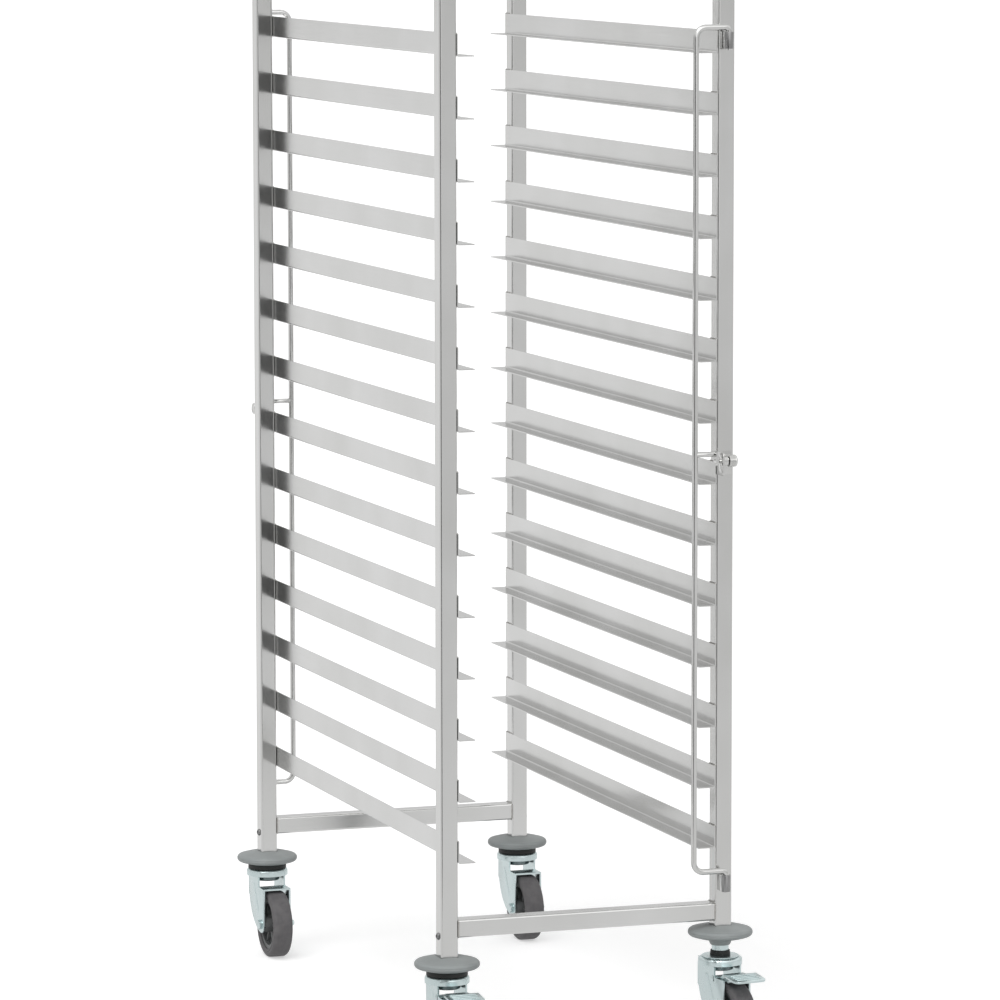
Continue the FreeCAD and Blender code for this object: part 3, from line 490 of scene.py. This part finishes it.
def bevel(piece, width, segments=3):
    """Round off a piece's edges, except where its faces meet at a flat angle."""
    bpy.ops.object.select_all(action="DESELECT")
    bpy.context.view_layer.objects.active = piece
    rounding = piece.modifiers.new("rounding", "BEVEL")
    rounding.width = width
    rounding.segments = segments
    rounding.limit_method = "ANGLE"
    rounding.angle_limit = math.radians(40)
    bpy.ops.object.modifier_apply(modifier="rounding")


crown, crown_foot = (0.1091, 0.1205, 0.010), (0.1065, 0.1090, 0.012)
bead_x, bead_y, bead_z = 0.010, 0.0213, 0.086
leaning, flattened = math.radians(-28), (1, 0.17, 1, 1)
press_bead = turned("press_bead", [
    (1.2, -25), (3.6, -23.8), (5.2, -21.5), (6, -18), (6, 18), (5.2, 21.5), (3.6, 23.8),
    (1.2, 25)], 32, closed=False)
press_bead.data.transform(Matrix.Rotation(leaning, 4, "Y") @ Matrix.Diagonal(flattened))
smooth(press_bead, 50)
race_cup = turned("race_cup", [
    (9.3, 127.2), (9.3, 112.5), (9.8, 112), (17.6, 112), (18.4, 112.8), (18.4, 127.2)], 64)
smooth(race_cup)
# Darkened steel on the race cup: painted shade for the shadowed recess under the crown.
race_cup_painted_shade = zinc_plate("race_cup_painted_shade", (0.13, 0.16, 0.165), (0.19, 0.225, 0.23))
coat(race_cup, race_cup_painted_shade)
for corner, (x, y, turn) in CASTORS.items():
    cup = copy_to(race_cup, "race_cup_" + corner, (x, y, 0))
    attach(cup, "castor_" + corner)
    at = castor_place(corner)
    fork = merged_copy("fork_" + corner, "stamped_fork_" + corner)
    lift_part(fork, *crown)
    lift_part(fork, *crown_foot)
    widen_fork(fork, at)
    bevel(fork, 0.0007)
    smooth(fork, 40)
    beads = []
    for side in (-1, 1):
        bead = copy_to(press_bead, "bead", (bead_x, side * bead_y, bead_z))
        bead.data.transform(at)
        beads.append(bead)
    fork = joined("stamped_fork_" + corner, [fork] + beads)
    coat(fork, zinc)
    replace(fork, "fork_" + corner, "castor_" + corner)
drop(press_bead, race_cup)

# Axles: a hexagon bolt through both legs with a washer under its head, and a lock nut with a
# nylon ring on the other side. The hub turns on a spacer sleeve that the bolt clamps.
TRAIL, AXLE_Z = 0.038, 0.05


def on_axle(piece, name, corner):
    """A copy of a piece turned about Z, laid down on a castor's axle."""
    copy = copy_to(piece, name, (TRAIL, 0, AXLE_Z), 90, "X")
    copy.data.transform(castor_place(corner))
    return copy


bolt = turned("bolt", [
    (3.6, -30), (4, -29.6), (4, 21.5), (7.4, 21.5), (7.4, 22.3), (6.4, 22.3)], 48, closed=False)
across_flats = 0.013
bolt_head = hexagon(across_flats, 0.0045)
bolt_head.data.transform(Matrix.Translation((0, 0, 0.02455)))
lock_nut = hexagon(across_flats, 0.0057)
lock_nut.data.transform(Matrix.Translation((0, 0, -0.02435)))
for part in (bolt_head, lock_nut):
    bevel(part, 0.0006, 2)
nut_collar = turned("nut_collar", [(5.6, -21.5), (5.6, -27.2)] + arc(
    (4.8, -27.2), 0.8, 0, -90, 4) + [(4.2, -28), (4.2, -21.5)], 48)
sleeve = turned("sleeve", [(4.05, -19), (6.05, -19), (6.05, 19), (4.05, 19)], 48)
axle = joined("axle", [bolt, bolt_head, lock_nut, nut_collar, sleeve])
smooth(axle)
coat(axle, zinc)
for corner in CASTORS:
    copy = on_axle(axle, "bolted_axle_" + corner, corner)
    replace(copy, "axle_" + corner, "castor_" + corner)
drop(axle)

# Tyres: solid grey rubber moulded round the hub, with round shoulders, a crowned tread and a
# shallow groove in each side wall. Dust from the floor dulls the tread.
half_tyre = [
    (38, 13.2), (39, 14.3), (40.4, 14.8), (41.2, 14.6), (41.6, 14.1), (42.4, 14.1),
    (42.8, 14.6), (43.6, 14.9)]
half_tyre += arc((44.3, 9.3), 5.6, 84, 8, 9) + [(49.97, 6), (50, 0.35), (49.85, 0.2)]
other_half = [(wide, -high) for wide, high in half_tyre]
tyre = turned("tyre", other_half + half_tyre[::-1], 128)
smooth(tyre, 30)
tyre_rubber, shader, place = new_material("tyre_rubber")
dust = noise(tyre_rubber, place, EVEN, 90.0)
skin = noise(tyre_rubber, place, EVEN, 1500.0, detail=2.0)
link = tyre_rubber.node_tree.links.new
shades = drift(tyre_rubber, dust, (0.092, 0.088, 0.092), (0.135, 0.130, 0.133))
link(shades, shader.inputs["Base Color"])
link(between(tyre_rubber, dust, 0.55, 0.75), shader.inputs["Roughness"])
relief(tyre_rubber, shader, skin, 0.3, 0.00015)
coat(tyre, tyre_rubber)
for corner in CASTORS:
    copy = on_axle(tyre, "moulded_tyre_" + corner, corner)
    replace(copy, "tyre_" + corner, "wheel_" + corner)
drop(tyre)

# Hubs: moulded plastic with a boss round the sleeve, a thin web, a rim under the tyre and six
# ribs on each side between boss and rim.
RIBS = 6


def block(size, middle):
    """A block of a given size, its middle at a place."""
    bpy.ops.mesh.primitive_cube_add(size=1, location=(0, 0, 0))
    piece = bpy.context.object
    piece.data.transform(Matrix.Translation(middle) @ Matrix.Diagonal((*size, 1)))
    return piece


hub_plastic = moulded_plastic("hub_plastic", (0.10, 0.105, 0.105), (0.135, 0.14, 0.14), 0.42)
half_hub = [
    (6.1, 18.5), (11.6, 18.5), (12, 18.1), (12.5, 4), (14.2, 2.5), (29.6, 2.5), (31.4, 4),
    (31.9, 11.1), (32.3, 11.5), (37.9, 11.5)]
other_half = [(wide, -high) for wide, high in half_hub]
wheel_body = turned("wheel_body", half_hub + other_half[::-1], 96)
ribs = []
for number in range(RIBS):
    rib = block((0.021, 0.003, 0.016), (0.022, 0, 0))
    rib.data.transform(Matrix.Rotation(math.tau * number / RIBS, 4, "Z"))
    bevel(rib, 0.0006, 2)
    ribs.append(rib)
hub = joined("hub", [wheel_body] + ribs)
smooth(hub)
coat(hub, hub_plastic)
for corner in CASTORS:
    copy = on_axle(hub, "ribbed_hub_" + corner, corner)
    replace(copy, "hub_" + corner, "wheel_" + corner)
drop(hub)

# Brake pedals: pressed steel levers on the two front castors, zinc plated, their treads ridged
# so that a shoe doesn't slip, with a domed rivet through both legs of the fork.
tread_start, tread_lift = 0.058, 0.003
wide_tread, narrow_tread = 0.050, 0.042
first_ridge, ridge_pitch = 0.068, 0.0065
slope_start, slope_top, slope = 0.061, 0.1155, 0.004 / 0.034
rivet_place = (0.018, 0, 0.103)
ridges = []
for number in range(4):
    out = first_ridge + ridge_pitch * number
    height = slope_top - slope * (out - slope_start)
    ridge = block((0.0022, 0.038, 0.0022), (out, 0, height))
    bevel(ridge, 0.0009)
    ridges.append(ridge)
grip = joined("grip", ridges)
smooth(grip, 60)
rivet = turned("rivet", [(0.6, -23.5)] + arc((0, -16.4375), 7.0625, -85, -51, 6) + [
    (2.5, -21.5), (2.5, 21.5)] + arc((0, 16.4375), 7.0625, 51, 85, 6), 32, closed=False)
smooth(rivet)
coat(rivet, zinc)
for side in ("left", "right"):
    corner = "front_" + side
    at = castor_place(corner)
    pedal = merged_copy("brake_pedal_" + side, "pressed_pedal_" + side)
    bevel(pedal, 0.0006)
    smooth(pedal, 40)
    pedal.data.transform(at.inverted())
    for vertex in pedal.data.vertices:
        if vertex.co.x > tread_start:
            vertex.co.y *= wide_tread / narrow_tread
            vertex.co.z += tread_lift
    pedal.data.transform(at)
    tread = copy_to(grip, "tread")
    tread.data.transform(at)
    pedal = joined("pressed_pedal_" + side, [pedal, tread])
    coat(pedal, zinc)
    replace(pedal, "brake_pedal_" + side, "brake_pedal_" + side)
    pin = copy_to(rivet, "domed_rivet_" + side, rivet_place, 90, "X")
    pin.data.transform(at)
    replace(pin, "pedal_rivet_" + side, "castor_" + corner)
drop(grip, rivet)

# Hinge sleeves and catch brackets: short tubes on welded plates, and folded stainless brackets
# with a turned barrel, all with their edges broken and polished. The tubes are left duller.
PIVOTS = {"front": (0.199, -0.43525, 0), "rear": (-0.199, 0.48475, 180)}
low_sleeve, high_sleeve = (0.21, 0.25, 0.010), (1.39, 1.43, -0.004)
tube_reach = 0.0068
tube_steel = zinc_plate("tube_steel", (0.27, 0.27, 0.27), (0.35, 0.35, 0.35))
for end, (x, y, turn) in PIVOTS.items():
    sleeves = merged_copy("bar_sleeves_" + end, "hinge_sleeves_" + end)
    lift_part(sleeves, *low_sleeve)
    lift_part(sleeves, *high_sleeve)
    bevel(sleeves, 0.0004)
    smooth(sleeves, 40)
    coat(sleeves, steel_upright)
    sleeves.data.materials.append(tube_steel)
    for face in sleeves.data.polygons:
        on_tube = math.hypot(face.center.x - x, face.center.y - y) < tube_reach
        face.material_index = int(on_tube)
    replace(sleeves, "bar_sleeves_" + end, "frame")
    bracket = merged_copy("catch_bracket_" + end, "folded_bracket_" + end)
    bevel(bracket, 0.0004)
    smooth(bracket, 40)
    coat(bracket, steel_upright)
    replace(bracket, "catch_bracket_" + end, "frame")

# Retaining bars: round stainless wire bent to a long bracket whose two ends turn down into the
# sleeves, with a short rod welded across at mid height and a flat tab for the plunger on it.
CATCH_Z = 0.83


def straight(offset):
    """Draw the wire on from its end face."""
    bpy.ops.mesh.extrude_region_move(TRANSFORM_OT_translate={"value": offset})


def bend(centre, turn):
    """Bend the wire a quarter turn round an axis that runs across the bracket."""
    bpy.ops.mesh.spin(steps=10, angle=math.radians(90), center=centre, axis=(0, turn, 0))


def plunger_tab():
    """The flat tab: a plate with a round foot and the plunger's hole."""
    bpy.ops.mesh.primitive_cylinder_add(vertices=48, radius=0.007, depth=0.0025)
    tab = bpy.context.object
    carve(tab, block((0.01398, 0.0135, 0.00249), (0, 0.00675, 0)), "UNION")
    bpy.ops.mesh.primitive_cylinder_add(vertices=32, radius=0.0034, depth=0.01)
    carve(tab, bpy.context.object)
    quarter = math.radians(90)
    tab.data.transform(
        Matrix.Translation((-0.01725, 0, CATCH_Z)) @ Matrix.Rotation(quarter, 4, "Z")
        @ Matrix.Rotation(quarter, 4, "X"))
    return tab


# The wire starts at its upper pin: up, over to the upright, down and back to the lower pin.
high_leg, low_leg, upright = 1.427, 0.256, 0.048
tight, easy, pin_length = 0.006, 0.014, 0.025
over = upright - tight - easy
bpy.ops.object.select_all(action="DESELECT")
bpy.ops.mesh.primitive_circle_add(vertices=24, radius=0.004, location=(0, 0, 0), fill_type="NGON")
wire = bpy.context.object
bpy.ops.object.mode_set(mode="EDIT")
bpy.ops.mesh.select_all(action="SELECT")
bpy.ops.transform.translate(value=(0, 0, high_leg - tight - pin_length))
straight((0, 0, pin_length))
bend((-tight, 0, high_leg - tight), 1)
straight((-over, 0, 0))
bend((easy - upright, 0, high_leg - easy), 1)
straight((0, 0, low_leg - high_leg + 2 * easy))
bend((easy - upright, 0, low_leg + easy), 1)
straight((over, 0, 0))
bend((-tight, 0, low_leg - tight), -1)
straight((0, 0, -pin_length))
tidy_mesh()
bpy.ops.object.mode_set(mode="OBJECT")
bpy.ops.object.transform_apply(location=True, rotation=True, scale=True)
rod = turned("rod", [(3.3, -48), (3.5, -47.6), (3.5, -17.4), (3.3, -17)], 32, closed=False)
rod.data.transform(
    Matrix.Translation((0, 0, CATCH_Z + 0.01)) @ Matrix.Rotation(math.radians(90), 4, "Y"))
bar = joined("bar", [wire, rod, plunger_tab()])
smooth(bar)
coat(bar, steel_upright)
for end, (x, y, turn) in PIVOTS.items():
    copy = copy_to(bar, "bent_bar_" + end, (x, y, 0), turn)
    replace(copy, "retaining_bar_" + end, "retaining_bar_" + end)
drop(bar)

# Catch knobs: turned stainless steel, polished, with fine grip grooves round the edge and a
# shallow dish in the end. Each slides on the bracket's barrel and carries its plunger pin.
pin_and_bore = [(2.5, -13), (3, -12.5), (3, 9.3), (6.3, 9.3), (6.3, 1.3), (8.1, 1.3), (8.5, 1.7)]
grooves = []
for step in range(8):
    grooves += [(8.5, 2 + step), (8.5, 2.55 + step), (8.22, 2.7 + step), (8.22, 2.85 + step)]
end_face = [(8.5, 10.6)] + arc((6.5, 10.8), 2, 5, 90, 8)
dish = [(5.4, 12.8), (5.1, 12.6), (4.4, 12.35), (0.4, 12.3)]
knob = turned("knob", pin_and_bore + grooves + end_face + dish, 64, closed=False)
knob.data.transform(Matrix.Rotation(math.radians(90), 4, "Y"))
smooth(knob)
knob_steel = polished_steel("turned_steel", (12.0, 600.0, 600.0), 0.08, 0.16)
coat(knob, knob_steel)
for end, (x, y, turn) in PIVOTS.items():
    copy = copy_to(knob, "pull_knob_" + end, (x, y, CATCH_Z), turn)
    replace(copy, "catch_knob_" + end, "catch_knob_" + end)
drop(knob)

# The floor: pale and even, so that the trolley stands on its own soft shadow. The camera sees it
# a little lighter than it is lit, and the steel mirrors a floor that darkens towards the front.


def mix_by_ray(owner, ways, other, seen):
    """One value for the rays named, and another for the rest."""
    link = owner.node_tree.links.new
    path = add_node(owner, "ShaderNodeLightPath")
    total = path.outputs[ways[0]]
    for way in ways[1:]:
        step = add_node(owner, "ShaderNodeMath")
        step.operation = "MAXIMUM"
        link(total, step.inputs[0])
        link(path.outputs[way], step.inputs[1])
        total = step.outputs[0]
    blend = add_node(owner, "ShaderNodeMix")
    factor, first, second = 0, 2, 3
    link(total, blend.inputs[factor])
    for socket, value in ((first, other), (second, seen)):
        if isinstance(value, float):
            blend.inputs[socket].default_value = value
        else:
            link(value, blend.inputs[socket])
    return blend.outputs[0]


bpy.ops.object.select_all(action="DESELECT")
bpy.ops.mesh.primitive_plane_add(size=160)
floor = bpy.context.object
floor.name = "floor"
pale, shader, place = new_material("pale_floor")
shader.inputs["Base Color"].default_value = (0.75, 0.75, 0.75, 1)
shader.inputs["Roughness"].default_value = 0.9
shader.inputs["Specular IOR Level"].default_value = 0.1
shader.inputs["Emission Color"].default_value = (1, 1, 1, 1)
brighter = mix_by_ray(pale, ("Is Camera Ray",), 0.0, 0.46)
rows = add_node(pale, "ShaderNodeSeparateXYZ")
shade = add_node(pale, "ShaderNodeMapRange", From_Min=-5.0, From_Max=1.0, To_Min=0.78, To_Max=0.94)
mirrored = add_node(pale, "ShaderNodeEmission")
rays = add_node(pale, "ShaderNodeLightPath")
choice = add_node(pale, "ShaderNodeMixShader")
link = pale.node_tree.links.new
link(brighter, shader.inputs["Emission Strength"])
link(place, rows.inputs["Vector"])
link(rows.outputs["Y"], shade.inputs["Value"])
link(shade.outputs["Result"], mirrored.inputs["Strength"])
link(rays.outputs["Is Glossy Ray"], choice.inputs[0])
link(shader.outputs["BSDF"], choice.inputs[1])
link(mirrored.outputs["Emission"], choice.inputs[2])
link(choice.outputs["Shader"], pale.node_tree.nodes["Material Output"].inputs["Surface"])
coat(floor, pale)

# Studio light: a pale room, darker towards its walls so that the polished steel has something
# to show, with one large soft source from above on the left and one from the front.
room = bpy.data.worlds.new("room")
bpy.context.scene.world = room
room.use_nodes = True
link = room.node_tree.links.new
sky = room.node_tree.nodes["Background"]
sky.inputs["Color"].default_value = (1, 1, 1, 1)
direction = add_node(room, "ShaderNodeTexCoord").outputs["Object"]
rows = add_node(room, "ShaderNodeSeparateXYZ")
walls = add_node(room, "ShaderNodeMapRange", From_Min=0.08, From_Max=0.5, To_Min=0.66, To_Max=1.05)
walls.interpolation_type = "SMOOTHSTEP"
link(direction, rows.inputs["Vector"])
link(rows.outputs["Z"], walls.inputs["Value"])
mirrored = mix_by_ray(room, ("Is Glossy Ray",), 0.62, walls.outputs["Result"])
seen = mix_by_ray(room, ("Is Camera Ray", "Is Transmission Ray"), mirrored, 1.0)
link(seen, sky.inputs["Strength"])

# A dark screen stands beside the camera, for the polished corners to mirror.
bpy.ops.object.select_all(action="DESELECT")
bpy.ops.mesh.primitive_plane_add(size=1)
screen = bpy.context.object
screen.name = "dark_screen"
beside, facing, raised = (-0.86, -1.5, 0.75), math.radians(-19), math.radians(90)
screen.data.transform(
    Matrix.Translation(beside) @ Matrix.Rotation(facing, 4, "Z")
    @ Matrix.Rotation(raised, 4, "X") @ Matrix.Diagonal((0.9, 1.5, 1, 1)))
dark, shader, place = new_material("dark_screen")
shader.inputs["Base Color"].default_value = (0.16, 0.16, 0.16, 1)
shader.inputs["Roughness"].default_value = 1
coat(screen, dark)
screen.visible_camera = False
screen.visible_diffuse = False
screen.visible_transmission = False
screen.visible_shadow = False


def soft_light(name, strength, aim, softness):
    """A distant soft source that shines along a direction."""
    lamp = bpy.data.objects.new(name, bpy.data.lights.new(name, "SUN"))
    lamp.data.energy = strength
    lamp.data.angle = math.radians(softness)
    lamp.rotation_euler = Vector(aim).to_track_quat("-Z", "Y").to_euler()
    bpy.context.scene.collection.objects.link(lamp)


soft_light("main_light", 1.0, (0.55, 0.6, -1.0), 40)
soft_light("front_light", 0.5, (0.1, 1.0, -0.45), 60)

# The camera: a long lens from the left, held a little above the trolley's top, tilted down and
# very slightly rolled, as in the photograph.
heading, tilt, roll = 0.33151, 0.11589, -0.00108
standpoint = (-2.57281, -7.52293, 1.66115)
ahead = Vector((math.sin(heading), math.cos(heading), 0))
right = Vector((math.cos(heading), -math.sin(heading), 0))
up = Vector((0, 0, 1))
forward = ahead * math.cos(tilt) - up * math.sin(tilt)
upward = up * math.cos(tilt) + ahead * math.sin(tilt)
across = right * math.cos(roll) + upward * math.sin(roll)
upward = upward * math.cos(roll) - right * math.sin(roll)
camera = bpy.data.objects.new("camera", bpy.data.cameras.new("camera"))
camera.data.lens = 199.44
camera.data.sensor_width = 36
camera.matrix_world = Matrix.Translation(standpoint) @ Matrix(
    (across, upward, -forward)).transposed().to_4x4()
bpy.context.scene.collection.objects.link(camera)
bpy.context.scene.camera = camera

bpy.context.scene.view_settings.view_transform = "Standard"
